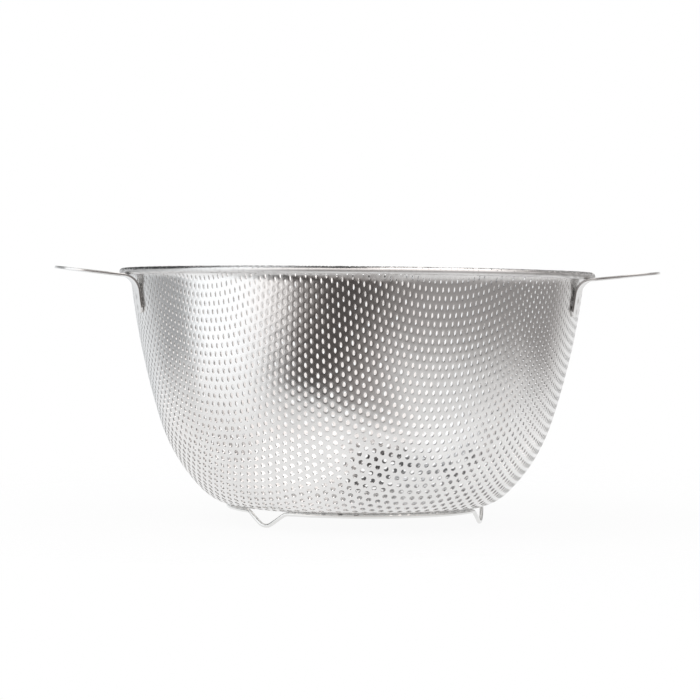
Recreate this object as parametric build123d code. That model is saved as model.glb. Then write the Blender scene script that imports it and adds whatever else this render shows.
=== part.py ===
from build123d import *
import math
import os

# A perforated steel colander that stands on a table. The table is z = 0, the bowl's axis is the Z axis,
# the handles point along +X and -X, and the front is -Y. Lengths are in millimetres, angles in degrees.

# Sheet and wires
sheet = 0.6                     # the bowl's steel
rim_wire_diameter = 2.0
base_wire_diameter = 2.0
roll_gap = 0.2                  # between the rim wire and the edge rolled around it
fit_gap = 0.05                  # between the bowl and what is welded to it

# Bowl: the outside of the sheet, from the floor up
rim_diameter = 240.0            # over the rolled edge
rim_height = 126.3              # top of the rolled edge above the table
floor_height = 8.0              # underside of the floor above the table
wall_spread = 60.7              # how far the rim stands out past the flat floor
corner_radius = 25.7            # floor to belly
corner_turn = 45.0
belly_radius = 87.4
side_radius = 377.0             # the slightly curved upper wall
flare_radius = 10.0             # the wall turning outwards under the rim
flare_slope = 40.0              # slope at which the flare runs into the roll
roll_turn = 285.0               # how far the edge is rolled round its wire

# Perforation, as it is punched in the flat blank before drawing
blank_pitch = 4.72              # between neighbouring holes
blank_hole = 2.5                # diameter of a hole
row_angle = 21.7                # direction of a row of holes from the X axis
holes_per_hole = 6.8            # pitch and hole are drawn larger by this factor
hole_sides = 8                  # straight sides of a hole
squeeze_share = 1.5             # how much more a hole narrows than the sheet, as a power

# Handles: a flat strip
strip_width = 11.0
strip_thickness = 1.2
handle_rise = 6.0               # slope of the loop towards its tip
handle_drop = 2.55              # from the top of the rim to the top of the strip, at the rim's edge
leg_azimuth = 18.6              # of each leg, from the X axis
leg_drop = 22.3                 # from the top of the rim to the lower end of a leg
leg_corner = 4.0                # rounding of that end
bend_radius = 8.0               # on the hollow side of the bend
root_length = 5.0               # from the bend to the turn into the straight side
root_radius = 15.0
loop_side = 5.7                 # straight part of the loop's side
loop_corner = 16.5              # of the loop, on the middle of the strip

# Spot welds on the legs: the marks that the electrodes leave
weld_diameter = 4.0
weld_depth = 0.25
weld_pitch = 5.5
welds_per_leg = 2

# Base ring and feet
ring_outset = 4.9               # from the edge of the flat floor to the middle of the wire
foot_count = 3
first_foot_angle = 107.3        # direction of the back foot from the X axis
foot_slope = 32.5               # of a foot's sides
foot_lead = 3.0                 # level wire before a foot's upper corner
foot_shoulder_radius = 6.0
foot_bottom_radius = 8.0
foot_points = 24                # steps in which a foot's flat drawing is laid round the ring

floor_radius = rim_diameter / 2 - wall_spread
ring_radius = floor_radius + ring_outset
leg_bottom = rim_height - leg_drop


def polar(radius, angle):
    """The point at a radius and an angle in degrees, in a flat drawing."""
    return Vector(radius * math.cos(math.radians(angle)), radius * math.sin(math.radians(angle)))


def meeting_point(centre_a, radius_a, centre_b, radius_b):
    """Where two circles cross, on the left of the line from the first centre to the second."""
    between = centre_b - centre_a
    along = (between.length**2 + radius_a**2 - radius_b**2) / (2 * between.length)
    across = math.sqrt(radius_a**2 - along**2)
    direction = between.normalized()
    return centre_a + direction * along + Vector(-direction.Y, direction.X) * across


def angle_from(centre, point):
    """The direction of a point from a centre, in degrees."""
    return math.degrees(math.atan2(point.Y - centre.Y, point.X - centre.X))


# Centres of the arcs of the bowl's outline, in a drawing of radius against height
roll_radius = rim_wire_diameter / 2 + roll_gap
corner_centre = Vector(floor_radius, floor_height + corner_radius)
belly_centre = corner_centre + polar(belly_radius - corner_radius, 90 + corner_turn)
roll_centre = Vector(rim_diameter / 2 - roll_radius - sheet, rim_height - roll_radius - sheet)
flare_centre = roll_centre + polar(flare_radius - roll_radius, flare_slope - 90)
side_centre = meeting_point(
    belly_centre, side_radius - belly_radius, flare_centre, side_radius + flare_radius
)
belly_end = angle_from(side_centre, belly_centre)
side_end = angle_from(side_centre, flare_centre)

# Arcs of that outline, from the floor up: centre, radius, first direction and turn
rising_arcs = (
    (corner_centre, corner_radius, -90.0, corner_turn),
    (belly_centre, belly_radius, corner_turn - 90, belly_end - corner_turn + 90),
    (side_centre, side_radius, belly_end, side_end - belly_end),
)
rim_arcs = (
    (flare_centre, flare_radius, 180 + side_end, flare_slope - 90 - side_end),
    (roll_centre, roll_radius, 90 + flare_slope, -roll_turn),
)


def sheet_line(inwards):
    """The outline of one face of the sheet, from the axis to the end of the roll, as joined edges."""
    floor = floor_height + inwards
    edges = [Line((0, floor), (floor_radius, floor))]
    for centre, radius, start, turn in rising_arcs:
        edges.append(CenterArc(centre, radius - inwards, start, turn))
    for centre, radius, start, turn in rim_arcs:
        edges.append(CenterArc(centre, radius + inwards, start, turn))
    return edges


def wall_at(height):
    """Radius and slope of the outside of the upper wall at a height."""
    sine = (height - side_centre.Y) / side_radius
    slope = 90 + math.degrees(math.asin(sine))
    return side_centre.X + side_radius * math.sqrt(1 - sine**2), slope


def wall_on(path_length):
    """Radius, height and slope of the outside of the sheet, a path length from the axis."""
    if path_length < floor_radius:
        return path_length, floor_height, 0.0
    path_length -= floor_radius
    for centre, radius, start, turn in rising_arcs:
        position = start + math.degrees(path_length / radius)
        if position < start + turn:
            break
        path_length -= radius * math.radians(turn)
    point = centre + polar(radius, position)
    return point.X, point.Y, position + 90


def blank_holes(pitch, reach):
    """Centres of the holes in the flat blank within a reach of its centre, in a triangular pattern."""
    first = polar(pitch, row_angle)
    second = polar(pitch, row_angle + 60)
    middle = (first + second) / 3
    steps = range(-math.ceil(2 * reach / pitch), math.ceil(2 * reach / pitch))
    centres = [first * i + second * j - middle for i in steps for j in steps]
    return [centre for centre in centres if centre.length < reach]


def hole_tool(centre, radius):
    """
    What cuts one hole of the drawn wall. Drawing leaves each hole as far from the middle of the floor,
    along the sheet, as it was in the blank, but squeezes it round the axis as the sheet moves inwards.
    """
    distance, height, slope = wall_on(centre.length)
    direction = angle_from(Vector(0, 0), centre)
    slope = math.radians(slope)
    away = Vector(math.sin(slope), 0, -math.cos(slope)).rotate(Axis.Z, direction)
    upwards = Vector(math.cos(slope), 0, math.sin(slope)).rotate(Axis.Z, direction)
    place = polar(distance, direction) + Vector(0, 0, height)
    squeezed = radius * (distance / centre.length) ** squeeze_share
    corners = [polar(1, turn * 360 / hole_sides) for turn in range(hole_sides)]
    outline = Polygon(*[(corner.X * radius, corner.Y * squeezed) for corner in corners], align=None)
    return extrude(Plane(origin=place, x_dir=upwards, z_dir=away) * outline, radius / 2, both=True)


def make_bowl():
    """The drawn sheet with its flared and rolled edge and its holes."""
    outside = sheet_line(0)
    inside = sheet_line(sheet)
    closing = [Line(outside[0] @ 0, inside[0] @ 0), Line(outside[-1] @ 1, inside[-1] @ 1)]
    section = make_face(outside + inside + closing)
    shell = revolve(Plane.XZ * section, Axis.Z)
    radius = holes_per_hole * blank_hole / 2
    flare_start = floor_radius + sum(arc[1] * math.radians(arc[3]) for arc in rising_arcs)
    centres = blank_holes(holes_per_hole * blank_pitch, flare_start - radius)
    print("holes:", len(centres))
    return shell - [hole_tool(centre, radius) for centre in centres]


def make_rim_wire():
    """The wire inside the rolled edge."""
    return Pos(0, 0, roll_centre.Y) * Torus(roll_centre.X, rim_wire_diameter / 2)


# Upper face of a handle's loop: its origin is over the rim's edge, its X direction follows the rise
rise = math.radians(handle_rise)
loop_plane = Plane(
    origin=(rim_diameter / 2, 0, rim_height - handle_drop),
    x_dir=(math.cos(rise), 0, math.sin(rise)),
    z_dir=(-math.sin(rise), 0, math.cos(rise)),
)


def leg_plane():
    """The drawing plane of a leg's side view: origin on the wall, X up the wall, Y away from it."""
    height = leg_bottom + strip_width / 2
    radius, slope = wall_at(height)
    slope = math.radians(slope)
    radial = polar(1, leg_azimuth)
    away = radial * math.sin(slope) - Vector(0, 0, math.cos(slope))
    bend_line = away.cross(loop_plane.z_dir).normalized()
    up = bend_line.cross(away)
    return Plane(origin=radial * radius + Vector(0, 0, height), x_dir=up, z_dir=-bend_line)


def bend_of(leg):
    """Centre and turn of the bend between a leg and the loop, in the leg's drawing plane."""
    over = loop_plane.z_dir
    along = over.dot(leg.x_dir)
    across = over.dot(leg.y_dir)
    centre_y = fit_gap + strip_thickness + bend_radius
    level = over.dot(loop_plane.origin - leg.origin) - strip_thickness - bend_radius
    centre = Vector((level - centre_y * across) / along, centre_y)
    return centre, math.degrees(math.atan2(along, -across))


def make_leg(leg):
    """One leg with its bend, its rounded lower end and its weld marks."""
    centre, turn = bend_of(leg)
    low = -strip_width / 2 / leg.x_dir.Z
    back = fit_gap
    front = fit_gap + strip_thickness
    outline = [
        Line((low, back), (centre.X, back)),
        CenterArc(centre, bend_radius + strip_thickness, -90, turn),
        Line((low, front), (centre.X, front)),
        CenterArc(centre, bend_radius, -90, turn),
        Line((low, back), (low, front)),
    ]
    outline.append(Line(outline[1] @ 1, outline[3] @ 1))
    solid = extrude(leg * make_face(outline), strip_width / 2, both=True)
    solid = fillet(solid.edges().filter_by(Axis(leg.origin, leg.y_dir)), leg_corner)
    ball = (weld_diameter**2 / 4 + weld_depth**2) / (2 * weld_depth)
    for number in range(welds_per_leg):
        along = (number - (welds_per_leg - 1) / 2) * weld_pitch
        solid -= Plane(leg.from_local_coords((along, front + ball - weld_depth, 0))) * Sphere(ball)
    return solid


def make_handle():
    """The right handle: a flat loop with two legs."""
    leg = leg_plane()
    centre, turn = bend_of(leg)
    start = leg.from_local_coords(centre + polar(bend_radius + strip_thickness, turn - 90))
    onward = leg.x_dir * math.cos(math.radians(turn)) + leg.y_dir * math.sin(math.radians(turn))
    start = loop_plane.to_local_coords(start)
    onward = loop_plane.to_local_coords(loop_plane.origin + onward)
    turning = start + onward * root_length
    root_run = root_radius * math.tan(math.atan2(onward.Y, onward.X) / 2)
    side = [start, turning, turning + Vector(root_run + loop_side + loop_corner, 0)]
    other = [Vector(point.X, -point.Y) for point in reversed(side)]
    middle = FilletPolyline(
        *side, *other, radius=[root_radius, loop_corner, loop_corner, root_radius]
    )
    loop = extrude(loop_plane * trace(middle, strip_width), -strip_thickness)
    legs = make_leg(leg)
    return loop + legs + mirror(legs, Plane.XZ)


def foot_path(direction, height):
    """
    The middle line of one foot, and the angle from its direction to where the ring's arc ends.
    The foot is drawn flat, along the wire against height, and then laid round the ring.
    """
    slope = math.radians(foot_slope)
    apex_drop = height - base_wire_diameter / 2 + foot_bottom_radius * (1 / math.cos(slope) - 1)
    half_width = apex_drop / math.tan(slope)
    end = half_width + foot_shoulder_radius * math.tan(slope / 2) + foot_lead
    corners = [(-end, 0), (-half_width, 0), (0, -apex_drop), (half_width, 0), (end, 0)]
    radii = [foot_shoulder_radius, foot_bottom_radius, foot_shoulder_radius]
    flat = FilletPolyline(*corners, radius=radii)
    points = []
    for step in range(foot_points + 1):
        point = flat @ (step / foot_points)
        place = polar(ring_radius, direction + math.degrees(point.X / ring_radius))
        points.append(place + Vector(0, 0, height + point.Y))
    reach = math.degrees(end / ring_radius)
    tangents = [polar(1, direction + 90 + turn) for turn in (-reach, reach)]
    return Spline(*points, tangents=tangents), reach


def make_base_ring():
    """The wire ring under the floor, bent down into feet."""
    overhang = max(0, ring_radius - floor_radius)
    seat = corner_radius + base_wire_diameter / 2 + fit_gap
    height = corner_centre.Y - math.sqrt(seat**2 - overhang**2)
    spacing = 360 / foot_count
    foot, reach = foot_path(first_foot_angle, height)
    half = spacing / 2 - reach
    before = CenterArc((0, 0, height), ring_radius, first_foot_angle - spacing / 2, half)
    after = CenterArc((0, 0, height), ring_radius, first_foot_angle + reach, half)
    path = Wire([before, foot, after])
    section = Plane(origin=path @ 0, z_dir=path % 0) * Circle(base_wire_diameter / 2)
    part_ring = sweep(section, path=path)
    ring = part_ring + [Rot(0, 0, spacing * number) * part_ring for number in range(1, foot_count)]
    length = path.length * foot_count
    print("base ring: volume over section times length",
          ring.volume / (math.pi * base_wire_diameter**2 / 4 * length))
    return ring


def main():
    os.makedirs("parts", exist_ok=True)
    right_handle = make_handle()
    nodes = {
        "bowl": make_bowl(),
        "rim_wire": make_rim_wire(),
        "right_handle": right_handle,
        "left_handle": mirror(right_handle, Plane.YZ),
        "base_ring": make_base_ring(),
    }
    for name, node in nodes.items():
        export_step(node, "parts/" + name + ".step")


main()
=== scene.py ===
# %% [markdown]
# This lesson dresses a perforated steel colander. The construction model gives the real size and place of
# every part, and stays where it is. What it can't show is the sheet's fine perforation, about seven thousand
# holes, and the soft edges and finish of polished steel. Those are made here, around the same parts.

# %% Load the construction model
import math

import bpy
from mathutils import Matrix, Vector


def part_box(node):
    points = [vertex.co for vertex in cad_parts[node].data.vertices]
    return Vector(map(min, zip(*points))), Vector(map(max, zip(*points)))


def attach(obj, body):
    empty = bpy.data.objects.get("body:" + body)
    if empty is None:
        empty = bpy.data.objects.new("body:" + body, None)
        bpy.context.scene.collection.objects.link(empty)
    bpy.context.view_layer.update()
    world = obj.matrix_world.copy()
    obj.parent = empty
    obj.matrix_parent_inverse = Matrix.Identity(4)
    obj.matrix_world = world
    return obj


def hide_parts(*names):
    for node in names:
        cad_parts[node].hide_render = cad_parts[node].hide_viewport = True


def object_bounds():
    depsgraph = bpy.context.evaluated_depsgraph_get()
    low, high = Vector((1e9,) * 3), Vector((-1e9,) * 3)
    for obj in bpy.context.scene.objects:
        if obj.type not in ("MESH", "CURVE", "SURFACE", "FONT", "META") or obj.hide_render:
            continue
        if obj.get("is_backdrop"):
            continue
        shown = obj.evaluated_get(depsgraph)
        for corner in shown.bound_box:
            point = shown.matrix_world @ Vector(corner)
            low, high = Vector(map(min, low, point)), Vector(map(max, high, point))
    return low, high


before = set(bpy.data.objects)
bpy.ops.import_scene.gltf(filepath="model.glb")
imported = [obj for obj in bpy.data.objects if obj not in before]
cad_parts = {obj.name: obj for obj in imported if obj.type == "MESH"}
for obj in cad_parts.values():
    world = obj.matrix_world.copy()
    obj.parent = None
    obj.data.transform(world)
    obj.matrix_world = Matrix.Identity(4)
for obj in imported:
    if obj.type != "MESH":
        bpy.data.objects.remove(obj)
cad_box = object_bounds()
bpy.context.scene.view_settings.view_transform = "Standard"
millimetre = 0.001
print("nodes:", sorted(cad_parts))

# %% [markdown]
# Nodes are easier to read as arithmetic than as a list of links. One small class wraps an output socket:
# plus, minus, times and divide add Math nodes, and its node method adds any other node, with its settings
# first and its inputs after them. The same class serves shader trees and geometry trees, because both know
# the Math node.


# %% A socket with arithmetic
class Signal:
    """One output socket of a node tree. Arithmetic on signals adds Math nodes."""

    def __init__(self, tree, socket=None):
        self.tree = tree
        self.socket = socket

    def node(self, kind, settings, inputs, output=0):
        """Adds a node with these settings and these values or links of its inputs."""
        made = self.tree.nodes.new(kind)
        for name, value in settings.items():
            setattr(made, name, value)
        for name, value in inputs.items():
            for link in value if isinstance(value, list) else [value]:
                if isinstance(link, Signal):
                    self.tree.links.new(link.socket, made.inputs[name])
                else:
                    made.inputs[name].default_value = link
        return Signal(self.tree, made.outputs[output] if made.outputs else None)

    def output(self, name):
        """Another output of the same node."""
        return Signal(self.tree, self.socket.node.outputs[name])

    def math(self, operation, *others):
        inputs = dict(enumerate([self, *others]))
        return self.node("ShaderNodeMath", {"operation": operation}, inputs)

    def parts(self):
        """The X, Y and Z of a vector."""
        made = self.node("ShaderNodeSeparateXYZ", {}, {0: self})
        return [made.output(axis) for axis in "XYZ"]

    def joined(self, x, y, z):
        """A vector from three numbers."""
        return self.node("ShaderNodeCombineXYZ", {}, {"X": x, "Y": y, "Z": z})

    def ramp(self, low, high):
        """0 below the low value, 1 above the high one, and a smooth climb between them."""
        made = {"interpolation_type": "SMOOTHSTEP"}
        inputs = {"Value": self, "From Min": low, "From Max": high}
        return self.node("ShaderNodeMapRange", made, inputs)

    def __add__(self, other):
        return self.math("ADD", other)

    def __radd__(self, other):
        return self.math("ADD", other)

    def __sub__(self, other):
        return self.math("SUBTRACT", other)

    def __rsub__(self, other):
        return self.math("MULTIPLY", -1.0).math("ADD", other)

    def __mul__(self, other):
        return self.math("MULTIPLY", other)

    def __rmul__(self, other):
        return self.math("MULTIPLY", other)

    def __truediv__(self, other):
        return self.math("DIVIDE", other)

# %% [markdown]
# The camera comes first, because every later choice is judged through it. The photograph was taken from
# about a metre away, a little below the rim's height, with a long lens that looks down by one degree and
# leans by half a degree.


# %% Camera
def linked(name, data):
    """A new object with this data, linked to the scene."""
    made = bpy.data.objects.new(name, data)
    bpy.context.scene.collection.objects.link(made)
    return made


camera_distance = 1.140
camera_side = -0.0033
camera_height = 0.105
camera_pitch = math.radians(-0.945)
camera_roll = math.radians(0.60)
camera_lens = 115.6

camera = linked("camera", bpy.data.cameras.new("camera"))
camera.data.lens = camera_lens
camera.data.sensor_width = 36.0
camera.data.clip_start = 0.01
camera.data.clip_end = 100.0
level = Matrix.Rotation(math.pi / 2 + camera_pitch, 4, "X")
camera.matrix_world = (
    Matrix.Translation((camera_side, -camera_distance, camera_height))
    @ level
    @ Matrix.Rotation(camera_roll, 4, "Z")
)
bpy.context.scene.camera = camera
print("camera at", [round(value, 4) for value in camera.location])

# %% [markdown]
# Polished steel has almost no colour of its own: what it shows is the room. So the studio is part of the
# finish. To the camera the world is a plain white surround. To the steel's reflections it is a studio with a
# big soft box on the left, a dark patch in front, where the camera stands, a dim room round that, a bright
# upper part and a pale wall behind the object. A picture of some other studio would bring things of its own,
# so the parts are drawn here, from the direction of the ray. The directions come first.

# %% Directions in the studio
world = bpy.data.worlds.new("studio")
bpy.context.scene.world = world
world.use_nodes = True
world.node_tree.nodes.clear()
start = Signal(world.node_tree)
east, north, up = start.node("ShaderNodeTexCoord", {}, {}, "Generated").parts()

# Degrees round the object from the camera's side, to the left, and degrees above the horizon
bearing = (-1.0 * east).math("ARCTAN2", -1.0 * north) * (180 / math.pi)
elevation = up.math("ARCSINE") * (180 / math.pi)

# What stands in front leans: below each of these elevations its edges lie further to the left
leaning = bearing
for lean_top, lean_share in ((-8.0, 0.5), (-18.0, 1.2)):
    leaning = leaning + (elevation - lean_top).math("MINIMUM", 0.0) * lean_share
print("nodes of the directions:", len(world.node_tree.nodes))

# %% [markdown]
# Each part of the studio is a mask: 1 where the part is and 0 elsewhere. Their edges are soft, because steel
# that is a little rough shows nothing sharply. They are given in degrees, or by how far east or north the
# direction points, from -1 to 1.


# %% Masks of the studio's parts
def band(signal, rise, fall):
    """1 between two soft edges, each given by where it starts and ends."""
    return signal.ramp(*rise) * (1.0 - signal.ramp(*fall))


left_part = bearing.ramp(0.0, 60.0)
cool_part = bearing.ramp(30.0, 70.0)
right_part = east.ramp(-0.1, 0.4)
low = 1.0 - elevation.ramp(-26.0, -8.0)
dark = band(leaning, (-42.0, -2.0), (8.0, 34.0)) * (1.0 - elevation.ramp(-6.0, 4.0))
backdrop = north.ramp(0.45, 0.85)
upper = elevation.ramp(0.0, 22.0)
back = upper * north.ramp(-0.1, 0.2)
soft_box = band(leaning, (26.0, 46.0), (84.0, 100.0)) * (1.0 - elevation.ramp(65.0, 80.0))
top_light = elevation.ramp(40.0, 55.0) * east.ramp(0.0, 0.22)
ceiling = elevation.ramp(52.0, 62.0) * band(east, (-0.60, -0.45), (-0.02, 0.12))
left_light = band(east, (-0.50, -0.42), (-0.24, -0.14)) * elevation.ramp(45.0, 52.0)
left_light = left_light * north.ramp(-0.10, 0.10)
print("nodes with the masks:", len(world.node_tree.nodes))

# %% [markdown]
# The parts are laid over each other like sheets of paper, from the dim room to the lamps, each with its own
# brightness, where 1 is white. The camera and the matte table see none of them. For those the surround is
# plain white, as the photograph's background is, so the studio can be as dark as the steel asks for.

# %% Brightness and tint of the surround
room_level = 0.31
room_left_level = 0.43
room_low_level = 0.41
dark_level = 0.06
backdrop_level = 0.90
upper_level = 1.15
back_level = 0.05
back_right_level = 0.35
soft_box_level = 1.30
top_light_level = 1.7
ceiling_level = 0.05
left_light_level = 1.0
fill_level = 1.0
white_level = 1.0
room_warmth = 0.35
warm_green_loss = 0.13
warm_blue_loss = 0.18
cool_shift = 0.02


def laid_over(below, level, mask):
    """A level over what is below it, where the mask is 1."""
    return below * (1.0 - mask) + level * mask


surround = laid_over(room_level, room_left_level, left_part)
behind = laid_over(back_level, back_right_level, right_part)
for level, mask in (
    (room_low_level, low),
    (dark_level, dark),
    (backdrop_level, backdrop),
    (upper_level, upper),
    (behind, back),
    (soft_box_level, soft_box),
    (top_light_level, top_light),
    (ceiling_level, ceiling),
    (left_light_level, left_light),
):
    surround = laid_over(surround, level, mask)
ray = start.node("ShaderNodeLightPath", {}, {}, "Is Camera Ray")
glossy = ray.output("Is Glossy Ray")
light = laid_over(fill_level, surround, glossy)
light = laid_over(light, white_level, ray.math("MAXIMUM", ray.output("Is Transmission Ray")))

# The room is a little warm, its dark patch more so, and the soft box a little cool
cool = glossy * cool_part
warm = glossy * (1.0 - cool_part) * (1.0 - backdrop)
warm = warm * (room_warmth + (1.0 - room_warmth) * dark)
red = 1.0 - cool_shift * cool
green = 1.0 - warm_green_loss * warm
blue = 1.0 - warm_blue_loss * warm + cool_shift * cool
tint = start.joined(red, green, blue)
background = start.node("ShaderNodeBackground", {}, {"Color": tint, "Strength": light})
start.node("ShaderNodeOutputWorld", {}, {"Surface": background})
print("nodes of the surround:", len(world.node_tree.nodes))

# %% [markdown]
# The floor is a plain pale table. To the camera it is as white as the surround, with a faint contact shadow.
# In the steel it is a white round area that fades out, and the dark patch in front goes on over it as a
# sector of shade. The wall's lower part mirrors just this floor, so its fading is what shades the belly of
# the bowl. Where the table fades it turns clear, and the room below the horizon shows instead.

# %% Steel's view of the table
table_reach = 0.46
table_fade = 0.30
table_centre = (0.0, 0.06)
table_white = 0.86
shadow_share = 0.09
shade_start = (-0.031, 0.120)
shade_centre = (-0.06, -0.02)
shade_right_edge = (-27.0, -8.0)
shade_left_edge = (15.0, 33.0)
shade_near_edge = (0.150, 0.195)

floor_material = bpy.data.materials.new("pale_table")
floor_material.use_nodes = True
floor_material.node_tree.nodes.clear()
start = Signal(floor_material.node_tree)
paint = start.node("ShaderNodeBsdfDiffuse", {}, {"Color": (table_white, table_white, table_white, 1.0)})
bright = start.node("ShaderNodeEmission", {}, {"Strength": white_level})
ray = start.node("ShaderNodeLightPath", {}, {}, "Is Camera Ray")
seen = ray.math("MAXIMUM", ray.output("Is Glossy Ray"))
seen = seen.math("MAXIMUM", ray.output("Is Transmission Ray")) * (1.0 - shadow_share)
mixed = start.node("ShaderNodeMixShader", {}, {0: seen, 1: paint, 2: bright})
x, y, z = start.node("ShaderNodeTexCoord", {}, {}, "Object").parts()


def floor_distance(place):
    """How far a point of the floor is from a place on it."""
    return ((x - place[0]) * (x - place[0]) + (y - place[1]) * (y - place[1])).math("SQRT")


fading = floor_distance(table_centre).ramp(table_reach - table_fade, table_reach)
around = (shade_start[0] - x).math("ARCTAN2", shade_start[1] - y) * (180 / math.pi)
shade = band(around, shade_right_edge, shade_left_edge)
shade = shade * floor_distance(shade_centre).ramp(*shade_near_edge)
fading = fading.math("MAXIMUM", shade)
clear = start.node("ShaderNodeBsdfTransparent", {}, {})
edge = start.node("ShaderNodeMixShader", {}, {0: fading, 1: mixed, 2: clear})
start.node("ShaderNodeOutputMaterial", {}, {"Surface": edge})
print("nodes of the table:", len(floor_material.node_tree.nodes))

# %% [markdown]
# The table itself is one flat face with many sides. A soft lamp from the upper left gives it the contact
# shadow. The lamp is left out of the reflections, because the soft box stands in for it there.

# %% Table and key light
table_sides = 96
key_size = 0.9
key_power = 3.0
key_place = Vector((-0.5, -0.4, 1.2))
key_aim = Vector((0, 0, 0.06))

table_mesh = bpy.data.meshes.new("table")
table_points = []
for side in range(table_sides):
    turn = 2 * math.pi * side / table_sides
    east_reach = table_centre[0] + table_reach * math.cos(turn)
    north_reach = table_centre[1] + table_reach * math.sin(turn)
    table_points.append((east_reach, north_reach, 0.0))
table_mesh.from_pydata(table_points, [], [range(table_sides)])
table_mesh.materials.append(floor_material)
table = linked("table", table_mesh)
table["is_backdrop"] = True

key = linked("key_light", bpy.data.lights.new("key_light", "AREA"))
key.data.shape = "RECTANGLE"
key.data.size = key_size
key.data.size_y = key_size
key.data.energy = key_power
key.location = key_place
key.rotation_mode = "QUATERNION"
key.rotation_quaternion = (key_place - key_aim).to_track_quat("Z", "Y")
key.visible_glossy = False
print("table reaches", table_reach, "m")

# %% [markdown]
# The bowl starts as a flat round blank, punched all over in a triangular pattern. Its few values come first,
# because the steel needs them too. The pitch, the angle of the rows and the place of the pattern follow the
# photographed bowl, so that the rows of the two agree.

# %% Pattern of the blank
blank_pitch = 4.735 * millimetre
hole_diameter = 2.7 * millimetre
row_angle = math.radians(20.6)
pattern_shift = (-1.01 * millimetre, -0.57 * millimetre)
open_share = math.pi / (2 * math.sqrt(3)) * (hole_diameter / blank_pitch) ** 2
print("open share of the blank:", round(open_share, 3))

# %% [markdown]
# A punch pulls the edge of every hole a little way in, and those soft edges are what makes a perforated sheet
# glitter. They are too shallow to be worth a mesh, so they go into the bump. They follow three cosine waves,
# 60 degrees apart on the blank: their sum is high at every hole and low between the holes.


# %% Soft edges of the holes
edge_depth = 0.03 * millimetre
edge_waves = (-1.0, 0.9)


def hole_edges(start):
    """How far the sheet's face is pulled in at a place, from its place in the flat blank."""
    place = start.node("ShaderNodeAttribute", {"attribute_name": "blank_place"}, {}, "Vector")
    x, y, z = place.parts()
    x = x - pattern_shift[0]
    y = y - pattern_shift[1]
    steps = 4 * math.pi / (math.sqrt(3) * blank_pitch)
    waves = 0.0
    for number in range(3):
        across = row_angle + math.pi * (0.5 + number * 2 / 3)
        waves = (x * (steps * math.cos(across)) + y * (steps * math.sin(across))).math("COSINE") + waves
    return waves.ramp(*edge_waves) * edge_depth


# %% [markdown]
# Steel is a metal with a light grey tint. What makes it look drawn and used is the small change of roughness
# over it, and a very shallow waviness that bends the reflections. Both come from noise on Object
# coordinates, stretched where the polishing ran round the axis. The flare under the rolled edge is duller,
# because the roll keeps the polishing wheel out of it, and the roll itself has no soft hole edges left.

# %% Steel
bowl_low, bowl_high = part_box("bowl")
rim_radius = (bowl_high.x - bowl_low.x) / 2
floor_height = bowl_low.z
rim_height = bowl_high.z

roll_drop = 1.7 * millimetre
roll_reach = 3.98 * millimetre
dull_reach = 5.38 * millimetre
roll_middle = rim_height - roll_drop
roll_inside = rim_radius - roll_reach
dull_start = rim_radius - dull_reach
soft_edge_fade = 1.0 * millimetre
dull_fade = 0.6 * millimetre
dull_roughness = 0.25
grain_turn = 0.03
cloud_scale = 28.0
worn_clouds = (0.35, 0.65)
worn_share = 0.94
fine_detail = 3.0
soft_detail = 2.0


def steel(name, colour, roughness, roughness_change, wave_depth, wave_scale, grain_scale, punched=False):
    """A steel: tint, roughness and its change, depth and scale of its waves, and scale of its grain."""
    material = bpy.data.materials.new(name)
    material.use_nodes = True
    material.node_tree.nodes.clear()
    start = Signal(material.node_tree)
    place = start.node("ShaderNodeTexCoord", {}, {}, "Object")
    x, y, z = place.parts()
    radius = (x * x + y * y).math("SQRT")
    around = y.math("ARCTAN2", x)
    turned = start.joined(around * grain_turn, radius, z)

    def noise(vector, scale, detail):
        inputs = {"Vector": vector, "Scale": scale, "Detail": detail}
        return start.node("ShaderNodeTexNoise", {}, inputs)

    grain = noise(turned, grain_scale, fine_detail)
    cloud = noise(place, cloud_scale, soft_detail)
    height = noise(place, wave_scale, soft_detail) * wave_depth
    rough = roughness + roughness_change * (grain + cloud - 1.0)
    if punched:
        below_roll = 1.0 - z.ramp(roll_middle, roll_middle + dull_fade)
        rough = rough + dull_roughness * radius.ramp(dull_start, roll_inside) * below_roll
        off_roll = 1.0 - radius.ramp(roll_inside, roll_inside + soft_edge_fade)
        height = height - hole_edges(start) * off_roll
    new_colour = (*colour, 1.0)
    worn_colour = (*[share * worn_share for share in colour], 1.0)
    tints = {0: cloud.ramp(*worn_clouds), 6: new_colour, 7: worn_colour}
    worn = start.node("ShaderNodeMix", {"data_type": "RGBA"}, tints, 2)
    bump = start.node("ShaderNodeBump", {}, {"Height": height, "Strength": 1.0, "Distance": 1.0})
    surface = start.node(
        "ShaderNodeBsdfPrincipled",
        {},
        {"Base Color": worn, "Metallic": 1.0, "Roughness": rough, "Normal": bump},
    )
    start.node("ShaderNodeOutputMaterial", {}, {"Surface": surface})
    print(name, "nodes:", len(material.node_tree.nodes))
    return material


bowl_steel = steel(
    "bowl_steel",
    colour=(0.822, 0.815, 0.808),
    roughness=0.19,
    roughness_change=0.10,
    wave_depth=0.2 * millimetre,
    wave_scale=90.0,
    grain_scale=420.0,
    punched=True,
)
wire_steel = steel(
    "wire_steel",
    colour=(0.80, 0.80, 0.79),
    roughness=0.12,
    roughness_change=0.06,
    wave_depth=0.05 * millimetre,
    wave_scale=160.0,
    grain_scale=900.0,
)
handle_steel = steel(
    "handle_steel",
    colour=(0.78, 0.77, 0.76),
    roughness=0.16,
    roughness_change=0.08,
    wave_depth=0.1 * millimetre,
    wave_scale=120.0,
    grain_scale=700.0,
)

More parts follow.
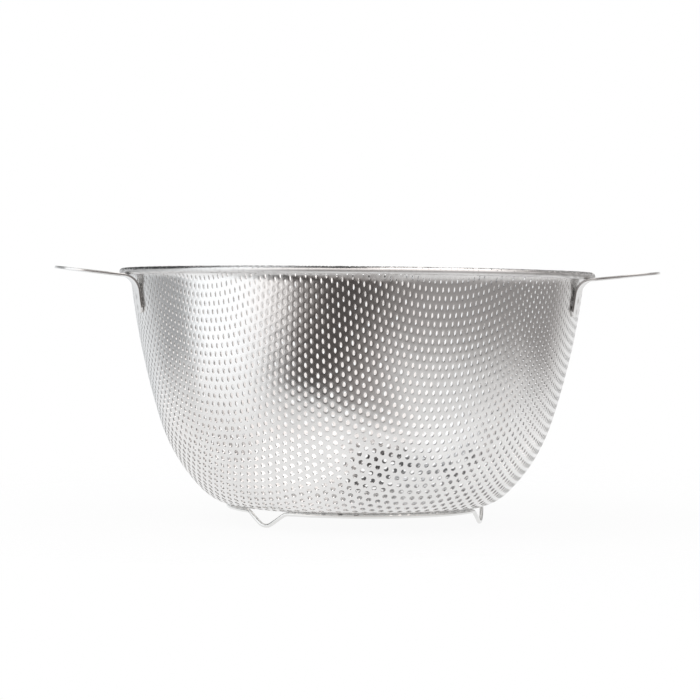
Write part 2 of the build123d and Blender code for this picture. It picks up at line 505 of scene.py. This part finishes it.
# %% [markdown]
# The punched blank is then drawn deep. Drawing keeps how far a hole is from the middle, along the sheet, but
# for a small loss towards the edge. It squeezes the sheet round the axis, so round holes come out tall and
# narrow near the rim. So the outline of the drawn sheet is all that is needed: a line of arcs from the
# middle of the floor to the end of the rolled edge. Each arc touches the next one without a kink, which
# bright steel would show at once.

# %% Outline of the drawn sheet
sheet_thickness = 0.6 * millimetre
corner_radius = 25.7 * millimetre
corner_turn = math.radians(45.0)
belly_radius = 87.4 * millimetre
side_radius = 377.0 * millimetre
flare_radius = 10.0 * millimetre
flare_slope = math.radians(40.0)
roll_turn = math.radians(285.0)
wire_radius = 1.0 * millimetre
roll_gap = 0.2 * millimetre
wall_spread = 60.7 * millimetre
floor_radius = rim_radius - wall_spread


def polar(radius, angle):
    return Vector((radius * math.cos(angle), radius * math.sin(angle)))


def meeting_point(centre_a, radius_a, centre_b, radius_b):
    """Where two circles cross, on the left of the line from the first centre to the second."""
    between = centre_b - centre_a
    along = (between.length**2 + radius_a**2 - radius_b**2) / (2 * between.length)
    across = math.sqrt(radius_a**2 - along**2)
    ahead = between.normalized()
    return centre_a + ahead * along + Vector((-ahead.y, ahead.x)) * across


def angle_from(centre, point):
    return math.atan2(point.y - centre.y, point.x - centre.x)


roll_radius = wire_radius + roll_gap
corner_centre = Vector((floor_radius, floor_height + corner_radius))
belly_centre = corner_centre + polar(belly_radius - corner_radius, math.pi / 2 + corner_turn)
roll_centre = Vector(
    (rim_radius - roll_radius - sheet_thickness, rim_height - roll_radius - sheet_thickness)
)
flare_centre = roll_centre + polar(flare_radius - roll_radius, flare_slope - math.pi / 2)
side_centre = meeting_point(
    belly_centre, side_radius - belly_radius, flare_centre, side_radius + flare_radius
)
belly_end = angle_from(side_centre, belly_centre)
side_end = angle_from(side_centre, flare_centre)

outline_arcs = (
    (corner_centre, corner_radius, -math.pi / 2, corner_turn),
    (belly_centre, belly_radius, corner_turn - math.pi / 2, belly_end - corner_turn + math.pi / 2),
    (side_centre, side_radius, belly_end, side_end - belly_end),
    (flare_centre, flare_radius, math.pi + side_end, flare_slope - math.pi / 2 - side_end),
    (roll_centre, roll_radius, math.pi / 2 + flare_slope, -roll_turn),
)
arc_lengths = [abs(radius * turn) for centre, radius, start, turn in outline_arcs]
flare_start = floor_radius + sum(arc_lengths[:3])
outline_length = floor_radius + sum(arc_lengths)
print("outline:", round(outline_length / millimetre, 1), "mm")

# %% [markdown]
# The arcs become a curve object of short straight runs, which a geometry tree can measure and sample. The
# loss in length while drawing grows with the third power of the distance from the middle, so that the floor
# keeps its pattern.

# %% Points of the outline
draw_in = 0.135
draw_in_rounds = 6
outline_step = 0.5 * millimetre
outline_turn = math.radians(4.0)


def blank_radius(length):
    """The distance from the middle of the blank that ends up at a length along the outline."""
    found = length
    for repeat in range(draw_in_rounds):
        found = length + draw_in * found**3
    return found


def line_object(name, points, cyclic=False):
    """A curve object of straight runs through these points."""
    curve = bpy.data.curves.new(name, "CURVE")
    curve.dimensions = "3D"
    spline = curve.splines.new("POLY")
    spline.points.add(len(points) - 1)
    for place, point in zip(spline.points, points):
        place.co = (*point, 1.0)
    spline.use_cyclic_u = cyclic
    return linked(name, curve)


outline_points = [Vector((0, 0, floor_height)), Vector((floor_radius, 0, floor_height))]
for centre, radius, start, turn in outline_arcs:
    steps = math.ceil(max(abs(radius * turn) / outline_step, abs(turn) / outline_turn))
    for step in range(1, steps + 1):
        point = centre + polar(radius, start + turn * step / steps)
        outline_points.append(Vector((point.x, 0, point.y)))
outline = line_object("sheet_outline", outline_points)
print("points of the outline:", len(outline_points))

# %% [markdown]
# A geometry tree now works as the press does: it lays out the pattern, punches it, trims the blank, gives it
# its thickness and draws it. A tree can make thousands of holes in a second, and a changed pitch or outline
# goes through all of it. It starts with its named inputs, and the next cells add one step each.


# %% Inputs of the sheet's tree
def started_tree(name, kinds):
    """A geometry tree with named inputs: the signal of the first one, and the identifiers of all."""
    tree = bpy.data.node_groups.new(name, "GeometryNodeTree")
    tree.interface.new_socket("Mesh", in_out="OUTPUT", socket_type="NodeSocketGeometry")
    identifiers = {}
    for label, kind in kinds.items():
        socket = tree.interface.new_socket(label, in_out="INPUT", socket_type="NodeSocket" + kind)
        identifiers[label] = socket.identifier
    return Signal(tree).node("NodeGroupInput", {}, {}), identifiers


kinds = {"Outline": "Object", "Shift": "Vector", "Rows": "Int", "Finer": "Int", "Steel": "Material"}
measures = ("Blank Radius", "Draw In", "Pitch", "Hole Diameter", "Row Angle", "Thickness")
limits = ("From", "To", "Side", "Extra Squeeze", "Squeeze Start", "Roll From", "Roll Hole Share")
for label in measures + limits:
    kinds[label] = "Float"
given, sheet_inputs = started_tree("drawn_perforated_sheet", kinds)
print("inputs of the sheet's tree:", len(sheet_inputs))

# %% [markdown]
# The first step lays out the centres of the holes. A grid of points leans over by 60 degrees into a
# triangular pattern, in which every hole has six neighbours at the same distance. Only the zone and the half
# of the blank that are being made keep their points, and each point remembers its place.


# %% Centres of the pattern
def moved(geometry, x, y, z, chosen=True):
    """The geometry with its chosen points moved to a new place."""
    inputs = {"Geometry": geometry, "Selection": chosen, "Position": geometry.joined(x, y, z)}
    return geometry.node("GeometryNodeSetPosition", {}, inputs)


def stored(geometry, name, value, kind="FLOAT_VECTOR", domain="POINT"):
    """The geometry with a value kept as a named attribute."""
    settings = {"data_type": kind, "domain": domain}
    inputs = {"Geometry": geometry, "Name": name, "Value": value}
    return geometry.node("GeometryNodeStoreNamedAttribute", settings, inputs)


whole_row = 0.0001
pitch = given.output("Pitch")
rows = given.output("Rows")
angle = given.output("Row Angle")
leant = angle + math.pi / 3
shift_x, shift_y = given.output("Shift").parts()[:2]
grid = given.node("GeometryNodeMeshGrid", {}, {"Vertices X": rows, "Vertices Y": rows})
index = given.node("GeometryNodeInputIndex", {}, {})
row = (index / rows + whole_row).math("FLOOR")
middle = (rows / 2.0).math("FLOOR")
first = index - row * rows - middle
second = row - middle
grid_x = pitch * (first * angle.math("COSINE") + second * leant.math("COSINE")) + shift_x
grid_y = pitch * (first * angle.math("SINE") + second * leant.math("SINE")) + shift_y
centres = moved(grid, grid_x, grid_y, 0.0)

place = given.node("GeometryNodeInputPosition", {}, {})
x, y, z = place.parts()
distance = (x * x + y * y).math("SQRT")
inside = given.output("From").math("GREATER_THAN", distance)
outside = distance.math("GREATER_THAN", given.output("To"))
wrong_half = (y * given.output("Side")).math("LESS_THAN", 0.0)
unwanted = (inside + outside + wrong_half).math("GREATER_THAN", 0.5)
inputs = {"Geometry": centres, "Selection": unwanted}
centres = given.node("GeometryNodeDeleteGeometry", {"domain": "POINT"}, inputs)
centres = stored(centres, "cell_centre", place)
print("nodes with the centres:", len(given.tree.nodes))

# %% [markdown]
# Round each centre lies one cell of the sheet: a hexagon with a round hole. Its corners are the middles
# between three holes, so the cells fill the plane without a gap, and the sheet needs no boolean cuts.

# %% Cells with a hole
hole_sides = 12
circle = "GeometryNodeCurvePrimitiveCircle"
hexagon = given.node(circle, {}, {"Resolution": 6, "Radius": pitch / math.sqrt(3)})
hole_radius = given.output("Hole Diameter") / 2.0
hole = given.node(circle, {}, {"Resolution": hole_sides, "Radius": hole_radius})
both = given.node("GeometryNodeJoinGeometry", {}, {0: [hexagon, hole]})
cell = given.node("GeometryNodeFillCurve", {"mode": "TRIANGLES"}, {"Curve": both})
turn = given.joined(0.0, 0.0, angle + math.pi / 6)
cell = given.node("GeometryNodeTransform", {}, {"Geometry": cell, "Rotation": turn})
cells = given.node("GeometryNodeInstanceOnPoints", {}, {"Points": centres, "Instance": cell})
cells = given.node("GeometryNodeRealizeInstances", {}, {"Geometry": cells})
print("nodes with the cells:", len(given.tree.nodes))

# %% [markdown]
# When the sheet is squeezed, the holes give way first, so near the rim they close more than the sheet does,
# and inside the roll they are closed almost fully. So each hole is narrowed across the line to the middle,
# round its own centre. How much the sheet is squeezed there follows from the outline.

# %% Holes that give way
hole_reach = 0.55
tiny = 1e-6
drawn_line = given.node("GeometryNodeObjectInfo", {}, {"Object": given}, "Geometry")


def place_on_line(distance):
    """Where a point of the blank comes to lie on the outline, from its distance from the middle."""
    loss = given.output("Draw In") * distance * distance * distance
    inputs = {"Curves": drawn_line, "Length": distance - loss}
    return given.node("GeometryNodeSampleCurve", {"mode": "LENGTH"}, inputs, "Position")


kept = {"data_type": "FLOAT_VECTOR"}
centre = given.node("GeometryNodeInputNamedAttribute", kept, {"Name": "cell_centre"})
centre_x, centre_y = centre.parts()[:2]
from_axis = (centre_x * centre_x + centre_y * centre_y).math("SQRT").math("MAXIMUM", tiny)
out_x = centre_x / from_axis
out_y = centre_y / from_axis
outwards = (x - centre_x) * out_x + (y - centre_y) * out_y
sideways = (y - centre_y) * out_x - (x - centre_x) * out_y
squeeze = place_on_line(from_axis).parts()[0] / from_axis
in_roll = from_axis.ramp(given.output("Roll From"), given.output("Roll From") + pitch)
closing = 1.0 - in_roll * (1.0 - given.output("Roll Hole Share"))
closed_up = (squeeze / given.output("Squeeze Start")).math("MINIMUM", 1.0)
narrow = closed_up.math("POWER", given.output("Extra Squeeze")) * closing
on_hole = (outwards * outwards + sideways * sideways).math("SQRT")
on_hole = on_hole.math("LESS_THAN", given.output("Hole Diameter") * hole_reach)
new_x = centre_x + out_x * outwards * closing - out_y * sideways * narrow
new_y = centre_y + out_y * outwards * closing + out_x * sideways * narrow
cells = moved(cells, new_x, new_y, 0.0, on_hole)
print("nodes with the narrowed holes:", len(given.tree.nodes))

# %% [markdown]
# Now the cells are joined into one blank and trimmed: what reaches past the blank's edge is drawn back to
# it, and the leftovers that lie flat on the edge go. An extrusion gives the blank its thickness, and marks
# the walls of the holes, which need their own hard normals later.


# %% Blank with its thickness
def merged(geometry, distance):
    """The geometry with points closer than a distance made one."""
    inputs = {"Geometry": geometry, "Distance": distance}
    return geometry.node("GeometryNodeMergeByDistance", {}, inputs)


cell_join = 0.02 * millimetre
sheet_join = 0.01 * millimetre
blank = merged(cells, cell_join)
inputs = {"Mesh": blank, "Level": given.output("Finer")}
blank = given.node("GeometryNodeSubdivideMesh", {}, inputs)
end = given.output("Blank Radius")
shrink = (end / distance.math("MAXIMUM", tiny)).math("MINIMUM", 1.0)
blank = moved(blank, x * shrink, y * shrink, 0.0)
inputs = {"Geometry": blank, "Selection": distance.math("GREATER_THAN", end - sheet_join)}
blank = given.node("GeometryNodeDeleteGeometry", {"domain": "FACE"}, inputs)
rise = {"Offset": (0.0, 0.0, 1.0), "Offset Scale": given.output("Thickness"), "Individual": False}
thick = given.node("GeometryNodeExtrudeMesh", {}, {"Mesh": blank, **rise})
thick = stored(thick, "cut_face", thick.output("Side"), "BOOLEAN", "FACE")
under = given.node("GeometryNodeFlipFaces", {}, {"Mesh": blank})
sheet = given.node("GeometryNodeJoinGeometry", {}, {0: [thick, under]})
sheet = merged(sheet, sheet_join)
print("nodes with the thick blank:", len(given.tree.nodes))

# %% [markdown]
# The last step is the drawing. A point's distance from the middle becomes its distance along the outline,
# and its height in the blank becomes its depth in the sheet, at right angles to the outline. Every point
# keeps its place in the blank, from which the material draws the soft hole edges, and the direction in
# which the sheet faces there.


# %% Drawing the blank
def finished_tree(given, geometry):
    """Ends a tree: makes instances real, puts the steel on and hands the mesh out."""
    geometry = given.node("GeometryNodeRealizeInstances", {}, {"Geometry": geometry})
    finish = {"Geometry": geometry, "Material": given.output("Steel")}
    geometry = given.node("GeometryNodeSetMaterial", {}, finish)
    given.node("NodeGroupOutput", {}, {"Mesh": geometry})
    return given.tree


drawn = place_on_line(distance)
line_x, line_y, line_z = drawn.parts()
along_x, along_y, along_z = drawn.output("Tangent").parts()
out_x = x / distance.math("MAXIMUM", tiny)
out_y = y / distance.math("MAXIMUM", tiny)
radius = line_x - along_z * z
height = line_z + along_x * z
layer = z.math("GREATER_THAN", given.output("Thickness") / 2.0) * 2.0 - 1.0
facing_out = along_z * layer * -1.0
facing = given.joined(out_x * facing_out, out_y * facing_out, along_x * layer)
sheet = stored(sheet, "sheet_normal", facing)
sheet = stored(sheet, "blank_place", given.joined(x, y, 0.0))
sheet = moved(sheet, out_x * radius, out_y * radius, height)
sheet_maker = finished_tree(given, sheet)
print("sheet tree nodes:", len(sheet_maker.nodes))

# %% [markdown]
# A tree runs as a modifier, on an object that only carries it. The result is taken over as a plain mesh, so
# that nothing has to be worked out again later. The shading normals then come from the outline itself: the
# sheet's faces get the direction of the drawn form, and the walls of the holes keep their own.


# %% Running a tree and smoothing its sheet
def mesh_from_tree(name, tree, names, values):
    """Runs a geometry tree with these input values and keeps the result as a plain mesh."""
    carrier = linked(name + "_carrier", bpy.data.meshes.new(name + "_carrier"))
    modifier = carrier.modifiers.new("tree", "NODES")
    modifier.node_group = tree
    for label, value in values.items():
        modifier[names[label]] = value
    bpy.context.view_layer.update()
    evaluated = carrier.evaluated_get(bpy.context.evaluated_depsgraph_get())
    mesh = bpy.data.meshes.new_from_object(evaluated)
    carrier.modifiers.remove(modifier)
    bpy.data.objects.remove(carrier)
    mesh.name = name
    return linked(name, mesh)


def smooth_by_sheet(mesh):
    """Gives the sheet's faces the normals of the drawn form, and the cut faces of the holes their own."""
    mesh.shade_smooth()
    cut = mesh.attributes["cut_face"].data
    facing = mesh.attributes["sheet_normal"].data
    corner_points = [loop.vertex_index for loop in mesh.loops]
    normals = [facing[point].vector.copy() for point in corner_points]
    for face in mesh.polygons:
        if cut[face.index].value:
            for loop in face.loop_indices:
                normals[loop] = face.normal.copy()
    mesh.normals_split_custom_set(normals)
    for name in ("cut_face", "sheet_normal", "cell_centre"):
        mesh.attributes.remove(mesh.attributes[name])


# %% [markdown]
# The sheet is one piece of steel, but a mesh of two hundred thousand triangles is as large as one piece
# should be. So it is made in four pieces that meet edge to edge: front and back half of the wall, and front
# and back half of the rolled edge, where the cells are divided once more to follow the tight roll. They
# share their normals where they meet, so the joints don't show.

# %% Perforated bowl
extra_squeeze = 1.8
squeeze_start = 0.86
roll_hole_share = 0.12
rim_zone_margin = 1.0 * millimetre
spare_rows = 6
blank_edge = blank_radius(outline_length)
rim_zone = blank_radius(flare_start) - rim_zone_margin
roll_start = blank_radius(outline_length - arc_lengths[-1]) - blank_pitch
pattern_rows = 2 * math.ceil(blank_edge / (blank_pitch * math.sin(math.pi / 3))) + spare_rows

bowl_pieces = {
    "bowl_wall_front": (0.0, rim_zone, -1.0, 0),
    "bowl_wall_back": (0.0, rim_zone, 1.0, 0),
    "bowl_rim_front": (rim_zone, blank_edge + blank_pitch, -1.0, 1),
    "bowl_rim_back": (rim_zone, blank_edge + blank_pitch, 1.0, 1),
}
sheet_values = {
    "Outline": outline,
    "Blank Radius": blank_edge,
    "Draw In": draw_in,
    "Pitch": blank_pitch,
    "Hole Diameter": hole_diameter,
    "Row Angle": row_angle,
    "Shift": (*pattern_shift, 0.0),
    "Rows": pattern_rows,
    "Thickness": sheet_thickness,
    "Extra Squeeze": extra_squeeze,
    "Squeeze Start": squeeze_start,
    "Roll From": roll_start,
    "Roll Hole Share": roll_hole_share,
    "Steel": bowl_steel,
}
for name, (first, last, side, finer) in bowl_pieces.items():
    values = {**sheet_values, "From": first, "To": last, "Side": side, "Finer": finer}
    piece = mesh_from_tree(name, sheet_maker, sheet_inputs, values)
    smooth_by_sheet(piece.data)
    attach(piece, "root")
    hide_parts("bowl")
    triangles = sum(len(face.vertices) - 2 for face in piece.data.polygons)
    print(name, "triangles:", triangles, "materials:", len(piece.data.materials))
bpy.data.objects.remove(outline)

# %% [markdown]
# Two pieces are round wire: the base ring, bent down into three feet, and the wire inside the rolled edge.
# One tree serves both. It takes a path and sweeps a circle along it, which keeps the wire equally thick in
# all its bends.

# %% Tree that gives a path its wire
kinds = {"Path": "Object", "Wire Radius": "Float", "Sides": "Int", "Steel": "Material"}
given, wire_inputs = started_tree("wire_along_path", kinds)
path = given.node("GeometryNodeObjectInfo", {}, {"Object": given}, "Geometry")
inputs = {"Resolution": given.output("Sides"), "Radius": given.output("Wire Radius")}
section = given.node(circle, {}, inputs)
wire = given.node("GeometryNodeCurveToMesh", {}, {"Curve": path, "Profile Curve": section})
wire_maker = finished_tree(given, wire)
print("wire tree nodes:", len(wire_maker.nodes))

# %% [markdown]
# A wire is bent over round tools, so its path is a line whose corners are rounded with known radii. One
# helper works out such a line. The handles' strip uses it as well.


# %% Lines with rounded corners
round_step = math.radians(3.0)


def turned(vector, angle):
    """A flat vector turned to the left by an angle."""
    return vector.x * polar(1, angle) + vector.y * polar(1, angle + math.pi / 2)


def rounded_line(corners, radii, step):
    """Points no further apart than a step, along a flat line whose inner corners are rounded."""
    joints = [corners[0]]
    for before, corner, after, radius in zip(corners, corners[1:], corners[2:], radii):
        ahead = (corner - before).normalized()
        onward = (after - corner).normalized()
        turn = math.atan2(ahead.x * onward.y - ahead.y * onward.x, ahead.dot(onward))
        first = corner - ahead * radius * math.tan(abs(turn) / 2)
        to_centre = turned(ahead, math.copysign(math.pi / 2, turn)) * radius
        parts = math.ceil(abs(turn) / round_step)
        for part in range(parts + 1):
            joints.append(first + to_centre - turned(to_centre, turn * part / parts))
    joints.append(corners[-1])
    points = [joints[0]]
    for first, last in zip(joints, joints[1:]):
        parts = max(1, math.ceil((last - first).length / step))
        points += [first.lerp(last, part / parts) for part in range(1, parts + 1)]
    return points


print("steps in a right-angled corner:", math.ceil(math.pi / 2 / round_step))

# %% [markdown]
# The base ring carries the bowl on three feet, each a V bent down out of the ring. Its path is drawn flat
# first, along the wire against height, and then laid round the ring, as the wire itself was bent. The rim
# wire is a plain ring in the middle of the roll. It only shows where the roll stays open at its end.

# %% Base ring and rim wire
foot_count = 3
first_foot_angle = math.radians(107.3)
foot_slope = math.radians(32.5)
foot_shoulder_radius = 6.0 * millimetre
foot_bottom_radius = 8.0 * millimetre
path_step = 0.6 * millimetre
rim_parts = 360
wire_sides = 20

ring_low, ring_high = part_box("base_ring")
ring_radius = (ring_high.x - ring_low.x) / 2 - wire_radius
ring_height = ring_high.z - wire_radius
foot_depth = ring_height - wire_radius + foot_bottom_radius * (1 / math.cos(foot_slope) - 1)
foot_half_width = foot_depth / math.tan(foot_slope)
spacing = 2 * math.pi / foot_count
half_arc = ring_radius * spacing / 2
flat_corners = [
    Vector(corner)
    for corner in (
        (-half_arc, 0),
        (-foot_half_width, 0),
        (0, -foot_depth),
        (foot_half_width, 0),
        (half_arc, 0),
    )
]
flat_radii = (foot_shoulder_radius, foot_bottom_radius, foot_shoulder_radius)
flat_foot = rounded_line(flat_corners, flat_radii, path_step)
ring_points = []
for number in range(foot_count):
    for point in flat_foot[:-1]:
        turn = first_foot_angle + number * spacing + point.x / ring_radius
        ring_points.append(Vector((*polar(ring_radius, turn), ring_height + point.y)))
rim_points = []
for part in range(rim_parts):
    turn = 2 * math.pi * part / rim_parts
    rim_points.append(Vector((*polar(roll_centre.x, turn), roll_centre.y)))
for name, points in (("base_ring", ring_points), ("rim_wire", rim_points)):
    path = line_object(name + "_path", points, cyclic=True)
    values = {"Path": path, "Wire Radius": wire_radius, "Sides": wire_sides, "Steel": wire_steel}
    piece = mesh_from_tree("bent_" + name, wire_maker, wire_inputs, values)
    bpy.data.objects.remove(path)
    piece.data.shade_smooth()
    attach(piece, "root")
    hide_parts(name)
    print(piece.name, "faces:", len(piece.data.polygons), "points of the path:", len(points))

# %% [markdown]
# A handle is one flat strip: up the wall from the weld, over a bend, out and round the grip, and back down
# the other leg. So it is made as a strip is: one section with rounded edges, carried along a line of
# frames. A frame is a point, the way back to the wall or up, and the way across the strip. Only half of the
# line is worked out, and the other half is its mirror image.

# %% Line of frames of a handle
strip_width = 11.0 * millimetre
strip_thickness = 1.2 * millimetre
handle_rise = math.radians(6.0)
handle_drop = 2.55 * millimetre
leg_azimuth = math.radians(18.6)
leg_drop = 22.3 * millimetre
leg_corner = 4.0 * millimetre
bend_radius = 8.0 * millimetre
root_length = 5.0 * millimetre
root_radius = 15.0 * millimetre
loop_side = 5.7 * millimetre
loop_corner = 16.5 * millimetre
fit_gap = 0.05 * millimetre
frame_step = 0.45 * millimetre

loop_origin = Vector((rim_radius, 0, rim_height - handle_drop))
loop_out = Vector((math.cos(handle_rise), 0, math.sin(handle_rise)))
loop_over = Vector((-math.sin(handle_rise), 0, math.cos(handle_rise)))
loop_side_way = Vector((0, 1, 0))

leg_height = rim_height - leg_drop + strip_width / 2
leg_sine = (leg_height - side_centre.y) / side_radius
leg_slope = math.pi / 2 + math.asin(leg_sine)
leg_radius = side_centre.x + side_radius * math.sqrt(1 - leg_sine**2)
radial = Vector((*polar(1, leg_azimuth), 0))
leg_origin = radial * leg_radius + Vector((0, 0, leg_height))
leg_away = radial * math.sin(leg_slope) - Vector((0, 0, math.cos(leg_slope)))
bend_line = leg_away.cross(loop_over).normalized()
leg_up = bend_line.cross(leg_away)

middle_radius = bend_radius + strip_thickness / 2
bend_across = fit_gap + strip_thickness + bend_radius
bend_level = loop_over.dot(loop_origin - leg_origin) - strip_thickness - bend_radius
bend_along = (bend_level - bend_across * loop_over.dot(leg_away)) / loop_over.dot(leg_up)
bend_turn = math.atan2(loop_over.dot(leg_up), -loop_over.dot(leg_away))
leg_low = -strip_width / 2 / leg_up.z
bend_centre = leg_origin + leg_up * bend_along + leg_away * bend_across


def leg_frames():
    """Frames from the lower end of a leg to the end of its bend."""
    frames = []
    steps = math.ceil((bend_along - leg_low) / frame_step)
    for step in range(steps):
        up_leg = leg_low + (bend_along - leg_low) * step / steps
        point = leg_origin + leg_up * up_leg + leg_away * (fit_gap + strip_thickness / 2)
        frames.append((point, -leg_away))
    steps = math.ceil(bend_turn * middle_radius / frame_step)
    for step in range(steps):
        turn = bend_turn * step / steps
        back = leg_up * math.sin(turn) - leg_away * math.cos(turn)
        frames.append((bend_centre + back * middle_radius, back))
    return frames


def loop_frames():
    """Frames from the end of the bend to the middle of the grip."""
    onward = leg_up * math.cos(bend_turn) + leg_away * math.sin(bend_turn)
    onward = Vector((onward.dot(loop_out), onward.dot(loop_side_way)))
    first = bend_centre + loop_over * middle_radius - loop_origin
    first = Vector((first.dot(loop_out), first.dot(loop_side_way)))
    turning = first + onward * root_length
    root_run = root_radius * math.tan(math.atan2(onward.y, onward.x) / 2)
    corner = turning + Vector((root_run + loop_side + loop_corner, 0))
    line = rounded_line(
        [first, turning, corner, Vector((corner.x, 0))], (root_radius, loop_corner), 2 * frame_step
    )
    lower = loop_origin - loop_over * strip_thickness / 2
    return [(lower + loop_out * out + loop_side_way * aside, loop_over) for out, aside in line]


half_frames = leg_frames() + loop_frames()
other_half = [
    (Vector((point.x, -point.y, point.z)), Vector((back.x, -back.y, back.z)))
    for point, back in reversed(half_frames[:-1])
]
handle_line = half_frames + other_half
print("frames of a handle:", len(handle_line), "bend:", round(math.degrees(bend_turn), 1), "degrees")

# %% [markdown]
# The section is a flat bar with rounded edges. At both ends of the strip it gets narrower and thinner, which
# rounds the corners and the edge of the end. The electrodes of the spot welder leave two shallow round
# dents on each leg: there the front face is pushed in, and its normals lean towards the dent's middle.


# %% Section, rounded ends and weld dents
edge_radius = 0.3 * millimetre
face_parts = 24
edge_parts = 5
steepest_end = 0.2
weld_radius = 2.0 * millimetre
weld_depth = 0.25 * millimetre
weld_pitch = 5.5 * millimetre
welds_per_leg = 2


def bar_section():
    """Points of the section as shares of the flat half width and half thickness, with their normals."""
    section = []
    for quarter, (across, over) in enumerate(((1, 1), (-1, 1), (-1, -1), (1, -1))):
        for part in range(edge_parts + 1):
            normal = polar(1, (quarter + part / edge_parts) * math.pi / 2)
            section.append((across, over, normal))
        if quarter in (0, 2):
            for part in range(1, face_parts):
                section.append((across * (1 - 2 * part / face_parts), over, Vector((0, over))))
    return section


def rounding(distance, radius):
    """How much a rounded end takes off at a distance from it, and how fast that changes."""
    if distance >= radius:
        return 0.0, 0.0
    left = math.sqrt(max(0.0, radius**2 - (radius - distance) ** 2))
    return radius - left, (radius - distance) / max(left, steepest_end * radius)


def dent(across, along):
    """Depth of the weld dents at a place on a leg, and their slope across and along."""
    ball = (weld_radius**2 + weld_depth**2) / (2 * weld_depth)
    for number in range(welds_per_leg):
        off = along - (number - (welds_per_leg - 1) / 2) * weld_pitch
        depth = weld_depth - (across**2 + off**2) / (2 * ball)
        if depth > 0:
            return depth, -across / ball, -off / ball
    return 0.0, 0.0, 0.0


print("points of the section:", len(bar_section()))

# %% [markdown]
# The section is carried along the line of frames, and every point gets the normal that the rounded edge, the
# rounded end or the dent has there. That keeps the mesh small: five steps look like a true round.


# %% Points and faces of a strip
front_normal = -0.99


def strip_points(line, side):
    """Points and normals of a strip along a line of frames, on the side +1 or -1 of the bowl."""
    section = bar_section()
    spots = [point for point, back in line]
    lengths = [0.0]
    for first, last in zip(spots, spots[1:]):
        lengths.append(lengths[-1] + (last - first).length)
    points, normals = [], []
    for place, (point, back) in enumerate(line):
        before = spots[max(place - 1, 0)]
        after = spots[min(place + 1, len(spots) - 1)]
        ahead = (after - before).normalized()
        across = ahead.cross(back).normalized()
        from_end = min(lengths[place], lengths[-1] - lengths[place])
        towards_end = -1 if lengths[place] < lengths[-1] / 2 else 1
        narrower, narrower_slope = rounding(from_end, leg_corner)
        thinner, thinner_slope = rounding(from_end, edge_radius)
        half_width = strip_width / 2 - edge_radius - narrower
        half_thickness = max(strip_thickness / 2 - edge_radius - thinner, 0.0)
        for share_across, share_over, normal in section:
            aside = share_across * half_width + normal.x * edge_radius
            deep = share_over * half_thickness + normal.y * edge_radius
            lean = abs(normal.x) * narrower_slope + abs(normal.y) * thinner_slope
            out = across * normal.x + back * normal.y + ahead * lean * towards_end
            if normal.y < front_normal:
                depth, slope_across, slope_along = dent(aside, from_end + leg_low)
                deep += depth
                out += across * slope_across - ahead * slope_along * towards_end
            corner = point + across * aside + back * deep
            points.append((corner.x * side, corner.y, corner.z))
            out = out.normalized()
            normals.append((out.x * side, out.y, out.z))
    return points, normals, len(section)


def strip_faces(rows, count, side):
    """The faces between the sections and the two ends, all facing outwards."""
    faces = []
    for row in range(rows - 1):
        here = row * count
        for column in range(count):
            after = (column + 1) % count
            faces.append([here + column, here + after, here + count + after, here + count + column])
    faces.append(list(range(count))[::-1])
    faces.append([(rows - 1) * count + column for column in range(count)])
    if side > 0:
        faces = [corners[::-1] for corners in faces]
    return faces


print("points of a strip:", len(handle_line) * len(bar_section()))

# %% [markdown]
# The two handles are the same strip. The left one is its mirror image in the plane between them, as turning
# the real piece round would give, because the piece is the same on both of its sides.


# %% Handles
def strip_mesh(name, line, side):
    points, normals, count = strip_points(line, side)
    mesh = bpy.data.meshes.new(name)
    mesh.from_pydata(points, [], strip_faces(len(line), count, side))
    mesh.validate()
    mesh.materials.append(handle_steel)
    mesh.shade_smooth()
    mesh.normals_split_custom_set([normals[loop.vertex_index] for loop in mesh.loops])
    return linked(name, mesh)


for name, side in (("right_handle", 1), ("left_handle", -1)):
    piece = strip_mesh("bent_" + name, handle_line, side)
    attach(piece, "root")
    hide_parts(name)
    print(piece.name, "faces:", len(piece.data.polygons))

# %% [markdown]
# The dressed colander has to be as large as the construction model. The two boxes are compared corner by
# corner and the largest distance between their corners is printed, so a wrong unit or a misplaced piece is
# seen at once.

# %% Compare the two boxes
visual_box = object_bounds()
apart = max((Vector(one) - Vector(other)).length for one, other in zip(cad_box, visual_box))
print("corners of the two boxes are apart by", round(apart / millimetre, 2), "mm")
